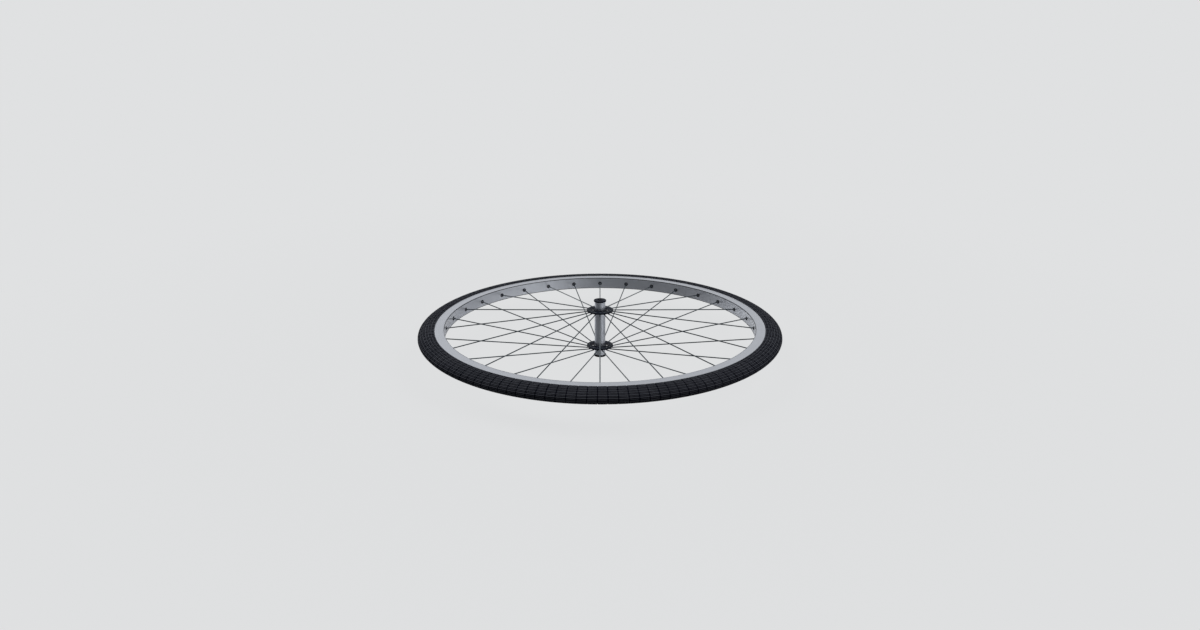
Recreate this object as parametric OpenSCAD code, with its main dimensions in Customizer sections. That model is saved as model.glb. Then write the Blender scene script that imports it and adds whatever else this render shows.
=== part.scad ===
// Bicycle front wheel: clincher tyre and tube on a double-wall rim, thirty-two radial spokes,
// and a sealed-bearing hub with a through bore. All sizes are in millimetres.
// The axle lies along Z and the origin is the centre of the wheel.

/* [Tyre] */
// Diameter of the seat that the tyre's beads sit on
bead_seat_d = 622; // [584:1:635]
// Height of the tread above the bead seat
tyre_h = 38; // [36:0.5:42]
// Width of the tyre at its widest
tyre_w = 27.2; // [26:0.2:30]
// Height above the bead seat at which the tyre is widest
tyre_wide_h = 16; // [13:1:18]
// Thickness of the sidewall
sidewall_t = 2; // [1.6:0.1:2.4]
// Thickness of the casing and tread at the crown
tread_t = 4; // [3:0.5:5]
// Wall thickness of the inner tube
tube_t = 0.9; // [0.6:0.1:1.2]

/* [Rim] */
// Width over the two side faces
rim_w = 24; // [23:0.5:26]
// Radial depth from the spoke bed to the top of the lips
rim_depth = 18; // [17:1:30]
// Height of the lips above the bead seat
lip_h = 6; // [5:0.5:6.5]
// Thickness of the side walls
side_wall_t = 1.7; // [1.4:0.1:2]
// Thickness of the wall that the spokes pull on
spoke_bed_t = 1.8; // [1.4:0.1:2.2]
// Thickness of the wall under the tyre
tyre_bed_t = 1.4; // [1.2:0.1:1.6]
// Depth of the well between the two bead seats
well_h = 3.2; // [2.5:0.1:3.5]

/* [Spokes] */
// Number of spokes, half of them on each flange
spoke_count = 32; // [24:4:32]
// Diameter of a spoke
spoke_d = 2; // [1.8:0.1:2]
// Diameter of the thicker wire at a spoke's elbow
elbow_d = 2.2; // [2.1:0.1:2.2]
// Diameter of a spoke's head
spoke_head_d = 3.6; // [3:0.1:4]
// Diameter of the washer-like lip of a rim eyelet
eyelet_d = 8; // [7:0.5:9]
// Diameter of a nipple's shank
nipple_d = 4; // [3.8:0.1:4]
// Height of the rim's spoke holes, measured from the middle of the rim
drill_z = -1; // [-2:0.1:2]

/* [Hub] */
// Length over the two end caps
hub_len = 114; // [108:1:135]
// Distance between the middles of the two flanges
flange_spacing = 72.6; // [60:0.2:76]
// Diameter of a flange
flange_d = 51; // [48:1:60]
// Thickness of a flange
flange_t = 2.6; // [2.4:0.1:3.4]
// Diameter of the circle of spoke holes
spoke_circle_d = 43; // [40:1:44]
// Outside diameter of the hub barrel
barrel_d = 20.6; // [20:0.2:22]
// Diameter of an end cap
cap_d = 23.8; // [22.6:0.2:26]
// Thickness of an end cap's flat
cap_t = 2.8; // [2:0.1:4]
// Diameter of the hole through the axle and caps
axle_bore_d = 10; // [9:0.5:10.4]

/* [Bearings] */
// Bore of a bearing, and the diameter of the axle's ends
bearing_bore_d = 12; // [11.8:0.1:12]
// Outside diameter of a bearing
bearing_d = 18; // [18:0.1:18.2]
// Width of a bearing
bearing_w = 4; // [4:0.1:5]
// Balls in a bearing
ball_count = 14; // [8:1:14]

/* [Valve] */
// Diameter of the valve stem
valve_d = 6; // [5.5:0.1:6]
// Length of stem and cap standing out of the rim
valve_out = 20; // [18:1:40]

/* [Hidden] */
$fn = 96;

// Rim and tyre
bead_r = bead_seat_d / 2;
rim_r = bead_r + lip_h;
spoke_bed_r = rim_r - rim_depth;
tyre_r = bead_r + tyre_h;
tyre_wide_r = bead_r + tyre_wide_h;
well_r = bead_r - well_h;
well_w = 10.8;
well_slope = 1.5;
hook_h = 1.2;
hook_depth = 0.7;
channel_w = rim_w - 2 * side_wall_t;
mouth_w = channel_w - 2 * hook_depth;
tyre_foot_w = rim_w + 0.4;
bead_w = 2.7;
bead_inside_w = channel_w - 2 * bead_w;
crown_power = 1.2;
crown_steps = 28;
tape_t = 0.6;
play = 0.3;
rim_chamfer = 0.4;
rim_line_w = 0.8;
rim_line_in = 0.7;
rim_line_depth = 0.3;

// Spokes
spoke_step = 360 / spoke_count;
spoke_hole_d = elbow_d + 0.2;
spoke_head_h = 1;
spoke_bend_r = 1.6;
elbow_inset = 0.2;
butt_overlap = 0.3;
spoke_hole_r = spoke_circle_d / 2;
flange_z = flange_spacing / 2;
pivot_r = spoke_bed_r + 1;
spoke_thread_in = 4.4;
eyelet_lip_t = 0.6;
eyelet_bore_d = nipple_d + 0.6;
eyelet_sleeve_d = eyelet_bore_d + 1.4;
nipple_out = 1.5;
nipple_seat = 1.8;
nipple_head_d = 6;
nipple_head_t = 0.8;
nipple_len = 5.8;
nipple_flats = 5;
access_hole_d = 8.5;

// Hub
cap_gap = 0.4;
barrel_end_z = hub_len / 2 - cap_t - cap_gap;
bearing_recess = 1.8;
bearing_z = barrel_end_z - bearing_recess - bearing_w / 2;
barrel_bore_r = 8;
barrel_chamfer = 0.4;
cap_face_t = 0.8;
axle_half = hub_len / 2 - cap_face_t;
flange_chamfer = 0.5;
slot_count = 8;
slot_in_r = 12.2;
slot_out_r = 14.8;
slot_rib_deg = 12;

// Bearings
ball_d = 1.98;
groove_d = 2.06;
pitch_r = (bearing_bore_d + bearing_d) / 4;
race_gap = 0.5;
cage_t = 0.4;
cage_half_h = 1.35;
pocket_d = 2.2;
seal_t = 0.3;
seal_inset = 0.05;

// Valve, halfway between two neighbouring spokes
valve_turn = (spoke_count / 2 + 0.5) * spoke_step;
valve_hole_d = valve_d + 0.5;
valve_foot_d = 7.6;
valve_foot_t = 1;
valve_nut_d = 12;
valve_nut_t = 3.2;
valve_cap_d = 7.6;
valve_cap_len = 11;
valve_cap_wall = 0.6;

function spoke_name(i) = str("spoke_", i < 9 ? "0" : "", i + 1);

// A ring of rectangular section around Z.
module ring(r_in, r_out, z_low, z_high) {
    rotate_extrude() translate([r_in, z_low]) square([r_out - r_in, z_high - z_low]);
}

// Turns its children so that their +X points out along spoke number i.
module at_spoke(i) {
    rotate([0, 0, 90 + i * spoke_step]) children();
}

// The same at the height of the rim's spoke holes.
module at_rim_hole(i) {
    translate([0, 0, drill_z]) at_spoke(i) children();
}

// Places a shape drawn along +Z so that it lies along +X from radius r.
module outward(r) {
    translate([r, 0, 0]) rotate([0, 90, 0]) children();
}

// Places its children at the top or the bottom bearing: side is 1 or -1.
module at_bearing(side) {
    translate([0, 0, side * bearing_z]) children();
}

// Tyre --------------------------------------------------------------------------

// Outline of a tyre's crown in [radius, z], from its widest point on one side over to the other.
function crown(half_w, wide_r, top_r) =
    [for (a = [0 : 180 / crown_steps : 180])
        [wide_r + (top_r - wide_r) * pow(sin(a), 2 / crown_power), half_w * cos(a)]];

// Adds the mirror image of a list of [radius, z] points, so that an outline closes.
function both_sides(points) =
    concat([for (p = points) [p[0], -p[1]]],
           [for (i = [len(points) - 1 : -1 : 0]) points[i]]);

module tyre_section() {
    foot = [
        [rim_r, tyre_foot_w / 2],
        [rim_r, mouth_w / 2],
        [rim_r - hook_h, mouth_w / 2],
        [rim_r - hook_h - hook_depth, channel_w / 2],
        [bead_r, channel_w / 2]
    ];
    neck = [
        [rim_r, bead_inside_w / 2],
        [bead_r - 1, bead_inside_w / 2]
    ];
    difference() {
        polygon(concat(crown(tyre_w / 2, tyre_wide_r, tyre_r), both_sides(foot)));
        polygon(concat(crown(tyre_w / 2 - sidewall_t, tyre_wide_r, tyre_r - tread_t), both_sides(neck)));
    }
}

module tyre() {
    color([0.13, 0.13, 0.15]) rotate_extrude() tyre_section();
}

// Outline of the tube at a given depth inside its own outer skin.
module tube_outline(inset) {
    neck_half = bead_inside_w / 2 - play - inset;
    base_r = well_r + tape_t + play + inset;
    base = [
        [rim_r, neck_half],
        [bead_r + 3 * play + inset, neck_half],
        [base_r, well_w / 2 - 2 * play - inset]
    ];
    half_w = tyre_w / 2 - sidewall_t - play - inset;
    polygon(concat(crown(half_w, tyre_wide_r, tyre_r - tread_t - play - inset), both_sides(base)));
}

module inner_tube() {
    color([0.2, 0.2, 0.2]) difference() {
        rotate_extrude() difference() {
            tube_outline(0);
            tube_outline(tube_t);
        }
        valve_hole(valve_d);
    }
}

// Rim ---------------------------------------------------------------------------

// The rim's section, with a fine line turned into each side face near its inner edge.
module rim_section() {
    channel = [
        [rim_r + 1, mouth_w / 2],
        [rim_r - hook_h, mouth_w / 2],
        [rim_r - hook_h - hook_depth, channel_w / 2],
        [bead_r, channel_w / 2],
        [bead_r, well_w / 2 + well_slope],
        [well_r, well_w / 2]
    ];
    cavity = [
        [well_r - tyre_bed_t, well_w / 2 - 0.3],
        [bead_r - tyre_bed_t, well_w / 2 + well_slope + 0.4],
        [bead_r - tyre_bed_t, channel_w / 2],
        [spoke_bed_r + spoke_bed_t, channel_w / 2]
    ];
    line_r = spoke_bed_r + rim_line_in;
    edge = [
        [rim_r, rim_w / 2],
        [line_r + rim_line_w, rim_w / 2],
        [line_r + rim_line_w, rim_w / 2 - rim_line_depth],
        [line_r, rim_w / 2 - rim_line_depth],
        [line_r, rim_w / 2],
        [spoke_bed_r + rim_chamfer, rim_w / 2],
        [spoke_bed_r, rim_w / 2 - rim_chamfer]
    ];
    difference() {
        polygon(both_sides(edge));
        polygon(both_sides(channel));
        polygon(both_sides(cavity));
    }
}

// A radial hole for the valve through the rim, the tape and the tube's base.
module valve_hole(d) {
    rotate([0, 0, 90 + valve_turn]) outward(spoke_bed_r - 2) cylinder(h = bead_r - spoke_bed_r + 3, d = d);
}

module rim() {
    color([0.68, 0.69, 0.72]) difference() {
        rotate_extrude() rim_section();
        for (i = [0 : spoke_count - 1]) {
            at_rim_hole(i) outward(spoke_bed_r - 1) cylinder(h = spoke_bed_t + 2, d = eyelet_sleeve_d + 0.1);
            at_spoke(i) outward(well_r - tyre_bed_t - 1) cylinder(h = tyre_bed_t + 2, d = access_hole_d);
        }
        valve_hole(valve_hole_d);
    }
}

module rim_tape() {
    color([0.85, 0.8, 0.6]) difference() {
        ring(well_r, well_r + tape_t, -well_w / 2 + 0.2, well_w / 2 - 0.2);
        valve_hole(valve_hole_d);
    }
}

// A turned steel washer with a sleeve, pressed into the spoke hole and flared inside the rim.
module eyelet() {
    lip_r = spoke_bed_r - 0.05;
    flare_r = spoke_bed_r + spoke_bed_t + 0.05;
    difference() {
        union() {
            outward(lip_r - eyelet_lip_t) cylinder(h = eyelet_lip_t, d = eyelet_d);
            outward(lip_r - eyelet_lip_t)
                cylinder(h = flare_r + 0.5 - lip_r + eyelet_lip_t, d = eyelet_sleeve_d);
            outward(flare_r) cylinder(h = 0.5, d = eyelet_sleeve_d + 1.2);
        }
        outward(lip_r - 2) cylinder(h = spoke_bed_t + 5, d = eyelet_bore_d);
    }
}

module rim_eyelets() {
    color([0.16, 0.16, 0.18]) for (i = [0 : spoke_count - 1]) at_rim_hole(i) eyelet();
}

// Spokes ------------------------------------------------------------------------

// Even spokes hang on the top flange and odd ones on the bottom flange.
function flange_side(i) = i % 2 == 0 ? 1 : -1;

// Centre of the elbow's bend in [radius, z].
function elbow_centre(i) =
    [spoke_hole_r + spoke_bend_r, flange_side(i) * flange_z - flange_t / 2 + elbow_inset];

// Slope of a spoke below the horizontal, so that its line meets the nipple's pivot.
function spoke_slope(i) =
    let (c = elbow_centre(i), run = pivot_r - c[0], fall = c[1] - drill_z)
    atan2(fall, run) - asin(spoke_bend_r / sqrt(run * run + fall * fall));

// Length of the straight part from the elbow to the pivot.
function spoke_run(i) =
    let (c = elbow_centre(i), run = pivot_r - c[0], fall = c[1] - drill_z)
    sqrt(run * run + fall * fall - spoke_bend_r * spoke_bend_r);

// A spoke: head, shank and elbow of thick wire, then a straight of thinner wire.
module spoke(i) {
    c = elbow_centre(i);
    slope = spoke_slope(i);
    head_z = flange_side(i) * flange_z + flange_t / 2;
    color([0.5, 0.53, 0.56]) at_spoke(i) {
        translate([spoke_hole_r, 0, head_z])
            cylinder(h = spoke_head_h, d1 = spoke_head_d, d2 = elbow_d + 0.2);
        translate([spoke_hole_r, 0, c[1]]) cylinder(h = head_z + spoke_head_h / 2 - c[1], d = elbow_d);
        translate([c[0], 0, c[1]]) rotate([90, 0, 0]) rotate([0, 0, 180])
            rotate_extrude(angle = 90 - slope) translate([spoke_bend_r, 0]) circle(d = elbow_d);
        translate([c[0] - spoke_bend_r * sin(slope), 0, c[1] - spoke_bend_r * cos(slope)])
            rotate([0, 90 + slope, 0]) translate([0, 0, -butt_overlap])
                cylinder(h = butt_overlap + spoke_run(i) + spoke_thread_in, d = spoke_d);
    }
}

// A nipple held inside the rim: its shank fills the eyelet, and its six-sided head is turned
// from the tyre's side.
module nipple(i) {
    at_rim_hole(i) translate([pivot_r, 0, 0]) rotate([0, 90 + spoke_slope(i), 0]) difference() {
        union() {
            translate([0, 0, -nipple_out]) cylinder(h = nipple_out + nipple_seat + 0.4, d = nipple_d);
            translate([0, 0, nipple_seat]) cylinder(h = nipple_head_t, d = nipple_head_d);
            translate([0, 0, nipple_seat])
                cylinder(h = nipple_len - nipple_seat, d = nipple_flats / cos(30), $fn = 6);
        }
        translate([0, 0, -nipple_out - 1]) cylinder(h = nipple_len + nipple_out + 2, d = spoke_d + 0.06);
    }
}

module spoke_nipples() {
    color([0.6, 0.6, 0.62]) for (i = [0 : spoke_count - 1]) nipple(i);
}

// Hub ---------------------------------------------------------------------------

// The turned barrel, with a seat for a bearing in each end.
module hub_barrel() {
    barrel_r = barrel_d / 2;
    seat_z = bearing_z - bearing_w / 2;
    half = [
        [barrel_bore_r, seat_z],
        [bearing_d / 2, seat_z],
        [bearing_d / 2, barrel_end_z],
        [barrel_r - barrel_chamfer, barrel_end_z],
        [barrel_r, barrel_end_z - barrel_chamfer]
    ];
    color([0.6, 0.61, 0.64]) rotate_extrude()
        polygon(concat(half, [for (i = [len(half) - 1 : -1 : 0]) [half[i][0], -half[i][1]]]));
}

// One of the eight windows between a flange's collar and its web.
module flange_slot() {
    half_deg = 180 / slot_count - slot_rib_deg / 2;
    translate([0, 0, -flange_t]) linear_extrude(2 * flange_t) intersection() {
        difference() {
            circle(r = slot_out_r);
            circle(r = slot_in_r);
        }
        polygon([[0, 0],
                 2 * slot_out_r * [cos(half_deg), -sin(half_deg)],
                 2 * slot_out_r * [cos(half_deg), sin(half_deg)]]);
    }
}

// A flange pressed on the barrel: side is 1 for the top one and -1 for the bottom one.
module flange(side) {
    half_t = flange_t / 2;
    edge_r = flange_d / 2;
    first = side > 0 ? 0 : 1;
    section = [
        [barrel_d / 2, half_t],
        [edge_r - flange_chamfer, half_t],
        [edge_r, half_t - flange_chamfer]
    ];
    color([0.15, 0.15, 0.18]) translate([0, 0, side * flange_z]) difference() {
        rotate_extrude() polygon(both_sides(section));
        for (i = [0 : slot_count - 1]) rotate([0, 0, i * 360 / slot_count]) flange_slot();
        for (i = [first : 2 : spoke_count - 1]) at_spoke(i)
            translate([spoke_hole_r, 0, -flange_t]) cylinder(h = 2 * flange_t, d = spoke_hole_d);
    }
}

module flange_top() {
    flange(1);
}

module flange_bottom() {
    flange(-1);
}

// The hollow axle, with a shoulder that holds the bearings apart.
module hub_axle() {
    shoulder_z = bearing_z - bearing_w / 2;
    color([0.62, 0.62, 0.64]) difference() {
        union() {
            ring(axle_bore_d / 2, bearing_bore_d / 2, -axle_half, axle_half);
            ring(axle_bore_d / 2, pitch_r - race_gap, -shoulder_z, shoulder_z);
        }
        translate([0, 0, -hub_len]) cylinder(h = 2 * hub_len, d = axle_bore_d);
    }
}

// A cap pressed over the axle's end, whose collar bears on the bearing's inner race.
module end_cap(side) {
    face_z = hub_len / 2;
    collar_z = bearing_z + bearing_w / 2;
    section = [
        [axle_bore_d / 2, axle_half],
        [bearing_bore_d / 2, axle_half],
        [bearing_bore_d / 2, collar_z],
        [pitch_r - race_gap, collar_z],
        [pitch_r - race_gap, face_z - cap_t],
        [cap_d / 2, face_z - cap_t],
        [cap_d / 2, face_z - 0.4],
        [cap_d / 2 - 0.4, face_z],
        [axle_bore_d / 2, face_z]
    ];
    color([0.14, 0.14, 0.17]) rotate_extrude() polygon([for (p = section) [p[0], side * p[1]]]);
}

module end_cap_top() {
    end_cap(1);
}

module end_cap_bottom() {
    end_cap(-1);
}

// Bearings ----------------------------------------------------------------------

// A race between two radii, with the balls' groove turned into it.
module race(r_in, r_out) {
    rotate_extrude() difference() {
        translate([r_in, -bearing_w / 2]) square([r_out - r_in, bearing_w]);
        translate([pitch_r, 0]) circle(d = groove_d);
    }
}

module inner_race(side) {
    color([0.7, 0.7, 0.72]) at_bearing(side) race(bearing_bore_d / 2, pitch_r - race_gap);
}

module outer_race(side) {
    color([0.7, 0.7, 0.72]) at_bearing(side) race(pitch_r + race_gap, bearing_d / 2);
}

module bearing_balls(side) {
    color([0.8, 0.8, 0.82]) at_bearing(side)
        for (i = [0 : ball_count - 1]) rotate([0, 0, i * 360 / ball_count])
            translate([pitch_r, 0, 0]) sphere(d = ball_d);
}

module ball_cage(side) {
    color([0.75, 0.6, 0.3]) at_bearing(side) difference() {
        ring(pitch_r - cage_t / 2, pitch_r + cage_t / 2, -cage_half_h, cage_half_h);
        for (i = [0 : ball_count - 1]) rotate([0, 0, i * 360 / ball_count])
            outward(pitch_r - 1) cylinder(h = 2, d = pocket_d);
    }
}

// The two rubber seals of one bearing, held by the outer race.
module bearing_seals(side) {
    seal_z = bearing_w / 2 - seal_inset - seal_t;
    color([0.1, 0.1, 0.1]) at_bearing(side) {
        ring(pitch_r - cage_t / 2, pitch_r + race_gap, seal_z, seal_z + seal_t);
        ring(pitch_r - cage_t / 2, pitch_r + race_gap, -seal_z - seal_t, -seal_z);
    }
}

// Valve -------------------------------------------------------------------------

// Turns its children so that their +X points out through the valve hole.
module at_valve() {
    rotate([0, 0, 90 + valve_turn]) children();
}

module valve_stem() {
    foot_r = well_r + tape_t + play + tube_t + 0.05;
    tip_r = spoke_bed_r - valve_out + 1;
    color([0.8, 0.68, 0.35]) at_valve() {
        outward(tip_r) cylinder(h = foot_r + valve_foot_t / 2 - tip_r, d = valve_d);
        outward(foot_r) cylinder(h = valve_foot_t, d = valve_foot_d);
    }
}

module valve_lock_ring() {
    seat_r = spoke_bed_r - 0.1;
    color([0.7, 0.7, 0.7]) at_valve() difference() {
        outward(seat_r - valve_nut_t) cylinder(h = valve_nut_t, d = valve_nut_d);
        outward(seat_r - valve_nut_t - 1) cylinder(h = valve_nut_t + 2, d = valve_d + 0.04);
    }
}

module valve_cap() {
    tip_r = spoke_bed_r - valve_out;
    color([0.08, 0.08, 0.08]) at_valve() difference() {
        outward(tip_r) cylinder(h = valve_cap_len, d = valve_cap_d);
        outward(tip_r + 0.9) cylinder(h = valve_cap_len, d = valve_cap_d - 2 * valve_cap_wall);
    }
}

// Assembly ----------------------------------------------------------------------

tyre();
inner_tube();
rim_tape();
rim();
rim_eyelets();
spoke_nipples();
for (i = [0 : spoke_count - 1]) spoke(i);
hub_barrel();
flange_top();
flange_bottom();
hub_axle();
end_cap_top();
end_cap_bottom();
inner_race(1);  // inner_race_top
outer_race(1);  // outer_race_top
bearing_balls(1);  // bearing_balls_top
ball_cage(1);  // ball_cage_top
bearing_seals(1);  // bearing_seals_top
inner_race(-1);  // inner_race_bottom
outer_race(-1);  // outer_race_bottom
bearing_balls(-1);  // bearing_balls_bottom
ball_cage(-1);  // ball_cage_bottom
bearing_seals(-1);  // bearing_seals_bottom
valve_stem();
valve_lock_ring();
valve_cap();
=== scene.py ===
"""A bicycle front wheel: the looks of every piece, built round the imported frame.

Each sub-assembly is a class that holds its own sizes, models its pieces with Blender's
operators and dresses them in finishes. Sizes are in millimetres; MM turns them into metres.
"""

from __future__ import annotations

import logging
import math
from dataclasses import dataclass, field
from enum import Enum
from functools import cache
from typing import Callable, Iterable, Sequence, Union

import bmesh
import bpy
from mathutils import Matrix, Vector

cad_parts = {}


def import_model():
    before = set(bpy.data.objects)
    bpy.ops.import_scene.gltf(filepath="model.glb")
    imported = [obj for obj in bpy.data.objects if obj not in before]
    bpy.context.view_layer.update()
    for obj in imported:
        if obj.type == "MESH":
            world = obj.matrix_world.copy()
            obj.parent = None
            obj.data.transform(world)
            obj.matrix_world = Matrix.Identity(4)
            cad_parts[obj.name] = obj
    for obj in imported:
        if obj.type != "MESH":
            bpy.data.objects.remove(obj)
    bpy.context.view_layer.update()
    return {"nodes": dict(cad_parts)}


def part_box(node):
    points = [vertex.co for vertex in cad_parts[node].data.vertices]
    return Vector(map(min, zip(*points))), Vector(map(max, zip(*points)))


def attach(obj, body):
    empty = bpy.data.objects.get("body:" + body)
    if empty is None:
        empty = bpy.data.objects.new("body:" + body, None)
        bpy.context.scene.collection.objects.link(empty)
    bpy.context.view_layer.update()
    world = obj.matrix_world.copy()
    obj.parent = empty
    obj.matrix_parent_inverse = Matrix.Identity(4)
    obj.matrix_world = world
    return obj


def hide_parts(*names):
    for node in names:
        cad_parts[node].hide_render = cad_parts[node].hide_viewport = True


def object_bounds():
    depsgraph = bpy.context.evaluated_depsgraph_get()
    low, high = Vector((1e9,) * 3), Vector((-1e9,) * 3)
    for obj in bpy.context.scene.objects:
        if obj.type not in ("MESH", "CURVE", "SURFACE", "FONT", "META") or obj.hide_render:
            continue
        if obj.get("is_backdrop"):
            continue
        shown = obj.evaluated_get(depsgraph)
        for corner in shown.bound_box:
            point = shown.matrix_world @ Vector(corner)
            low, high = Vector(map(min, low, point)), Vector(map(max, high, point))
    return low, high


MM = 0.001
FULL_TURN = 2 * math.pi

# The hook inside each lip of the rim, which the tyre's bead fits round.
HOOK_IN = 0.7
HOOK_TOP = 1.2
HOOK_FOOT = 1.9

# The radius at which marks that run outward, and the weave of a tape, have their stated width.
MARKS_R = 300.0

LOG = logging.getLogger("wheel")

Point = tuple[float, float]
Triple = tuple[float, float, float]
Piece = bpy.types.Object
Socket = bpy.types.NodeSocket
ORIGIN = Vector((0, 0, 0))


class Axis(Enum):
    """The line that an outline is turned about."""

    X = (1.0, 0.0, 0.0)
    Y = (0.0, 1.0, 0.0)
    Z = (0.0, 0.0, 1.0)


class Side(Enum):
    """The two ends of the hub."""

    TOP = 1
    BOTTOM = -1


class Lay(Enum):
    """The way that fine tool or drawing marks run over a metal."""

    ROUND = "round the axle"
    OUTWARD = "out from the axle"
    EVEN = "no direction"


# ---- modelling: Blender's operators, used one after another as by hand


def put_down() -> None:
    """Leave edit mode and deselect every object."""
    if bpy.context.object is not None and bpy.context.object.mode != "OBJECT":
        bpy.ops.object.mode_set(mode="OBJECT")
    bpy.ops.object.select_all(action="DESELECT")


def pick(piece: Piece) -> None:
    """Select one object alone and make it the active one.

    Args:
        piece: the object to work on.
    """
    put_down()
    piece.select_set(True)
    bpy.context.view_layer.objects.active = piece


def name_new(name: str) -> Piece:
    """Name the primitive just added and put its place into its mesh.

    Args:
        name: the piece's name.

    Returns:
        The new object.
    """
    piece = bpy.context.object
    piece.name = name
    piece.data.name = name
    bpy.ops.object.transform_apply(location=True, rotation=True, scale=True)
    return piece


def draw(name: str, outline: Sequence[Vector], closed: bool) -> Piece:
    """Draw an outline by extruding a point from place to place.

    Args:
        name: the piece's name.
        outline: the outline's corners, in metres.
        closed: whether the last corner is joined to the first.

    Returns:
        The new object, open for editing, with the outline selected.
    """
    put_down()
    bpy.ops.mesh.primitive_plane_add(size=MM, location=outline[0])
    piece = name_new(name)
    bpy.ops.object.mode_set(mode="EDIT")
    bpy.ops.mesh.select_mode(type="VERT")
    bpy.ops.mesh.select_all(action="SELECT")
    bpy.ops.mesh.merge(type="CENTER")
    for here, there in zip(outline, outline[1:]):
        bpy.ops.mesh.extrude_region_move(TRANSFORM_OT_translate={"value": there - here})
    if closed:
        mesh = bmesh.from_edit_mesh(piece.data)
        for vertex in mesh.verts:
            vertex.select_set(len(vertex.link_edges) == 1)
        mesh.select_flush(True)
        bmesh.update_edit_mesh(piece.data)
        bpy.ops.mesh.edge_face_add()
    bpy.ops.mesh.select_all(action="SELECT")
    return piece


def spin(angle: float, steps: int, copies: bool = False, axis: Axis = Axis.Z,
         centre: Vector = ORIGIN) -> None:
    """Sweep or copy what is selected about an axis, counter-clockwise: the operator turns clockwise."""
    bpy.ops.mesh.spin(steps=steps, dupli=copies, angle=-angle, center=centre, axis=axis.value)


def grow(distance: Vector, scale: float = 1.0, centre: Vector | None = None) -> None:
    """Extrude what is selected and then scale it about a centre.

    Args:
        distance: how far the new end moves.
        scale: how much the new end is resized by.
        centre: the point to resize about.
    """
    bpy.ops.mesh.extrude_region_move(TRANSFORM_OT_translate={"value": distance})
    if centre is not None and scale != 1.0:
        bpy.ops.transform.resize(value=(scale, scale, scale), center_override=centre)


def choose(piece: Piece, wanted: Callable[[Vector, Vector], bool]) -> None:
    """Select the faces whose centre and normal pass a test, and no others.

    Args:
        piece: the object open for editing.
        wanted: the test, given a face's centre and normal.
    """
    bpy.ops.mesh.select_mode(type="FACE")
    bpy.ops.mesh.select_all(action="DESELECT")
    mesh = bmesh.from_edit_mesh(piece.data)
    mesh.normal_update()
    for face in mesh.faces:
        if wanted(face.calc_center_median(), face.normal):
            face.select_set(True)
    bmesh.update_edit_mesh(piece.data)


def face_outward() -> None:
    """Merge what coincides and turn every face outward, in edit mode."""
    bpy.ops.mesh.select_all(action="SELECT")
    bpy.ops.mesh.remove_doubles(threshold=2e-6)
    bpy.ops.mesh.normals_make_consistent(inside=False)


def ring_round(piece: Piece, count: int) -> None:
    """Copy a piece's mesh round Z until it stands in so many places.

    Args:
        piece: the piece, which is left open for editing.
        count: the number of places.
    """
    pick(piece)
    bpy.ops.object.mode_set(mode="EDIT")
    bpy.ops.mesh.select_all(action="SELECT")
    spin(FULL_TURN * (count - 1) / count, count - 1, copies=True)


def turned(name: str, outline: Sequence[Vector], steps: int, axis: Axis = Axis.Z,
           centre: Vector = ORIGIN, closed: bool = True) -> Piece:
    """Turn an outline all the way round an axis, as on a lathe.

    Args:
        name: the piece's name.
        outline: the outline's corners, in metres.
        steps: the number of steps in the turn.
        axis: the direction of the axis.
        centre: a point on the axis.
        closed: whether the outline is a closed loop.

    Returns:
        The new object, open for editing.
    """
    piece = draw(name, outline, closed)
    spin(FULL_TURN, steps, axis=axis, centre=centre)
    face_outward()
    return piece


def modify(piece: Piece, kind: str, **settings: object) -> None:
    """Add a modifier to a piece and apply it.

    Args:
        piece: the object to change.
        kind: the modifier's type.
        settings: the modifier's settings.
    """
    pick(piece)
    bpy.ops.object.modifier_add(type=kind)
    modifier = piece.modifiers[-1]
    for key, value in settings.items():
        setattr(modifier, key, value)
    bpy.ops.object.modifier_apply(modifier=modifier.name)


def cut(piece: Piece, tool: Piece) -> None:
    """Cut a closed shape out of a piece and throw the shape away."""
    modify(piece, "BOOLEAN", object=tool, operation="DIFFERENCE", solver="EXACT")
    bpy.data.objects.remove(tool)


def join(first: Piece, others: Iterable[Piece]) -> Piece:
    """Join objects into the first one.

    Args:
        first: the object that stays.
        others: the objects that become part of it.

    Returns:
        The joined object.
    """
    pick(first)
    for other in others:
        other.select_set(True)
    bpy.ops.object.join()
    return first


def settle(piece: Piece, turn: Triple = (0.0, 0.0, 0.0), move: Vector = ORIGIN) -> None:
    """Turn and move a piece, and put its new place into its mesh.

    Args:
        piece: the piece.
        turn: the turns about X, Y and Z, in radians.
        move: the way it moves, in metres.
    """
    pick(piece)
    piece.rotation_euler = turn
    piece.location = move
    bpy.ops.object.transform_apply(location=True, rotation=True, scale=True)


def copy_turned(piece: Piece, name: str, angle: float) -> Piece:
    """Copy a piece, with its own mesh, and turn the copy about Z.

    Args:
        piece: the piece to copy.
        name: the copy's name.
        angle: the turn, in radians.

    Returns:
        The copy, with its place in its mesh.
    """
    pick(piece)
    bpy.ops.object.duplicate(linked=False)
    twin = bpy.context.object
    twin.name = name
    twin.data.name = name
    settle(twin, turn=(0.0, 0.0, angle))
    return twin


def polish(piece: Piece, crease_deg: float = 35.0, weighted: bool = True) -> None:
    """Shade a finished mesh smooth, with creases at its sharp edges.

    Args:
        piece: the finished object.
        crease_deg: the angle above which an edge stays sharp.
        weighted: whether flat faces keep flat shading beside rounded edges.
    """
    pick(piece)
    bpy.ops.object.shade_smooth_by_angle(angle=math.radians(crease_deg))
    if weighted:
        modify(piece, "WEIGHTED_NORMAL", keep_sharp=True)


def lathe(points: Iterable[Point], angle: float = 0.0) -> list[Vector]:
    """Place [radius, height] corners, in millimetres, on the half plane at an angle from +X."""
    return [Vector((r * math.cos(angle), r * math.sin(angle), z)) * MM for r, z in points]


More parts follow.
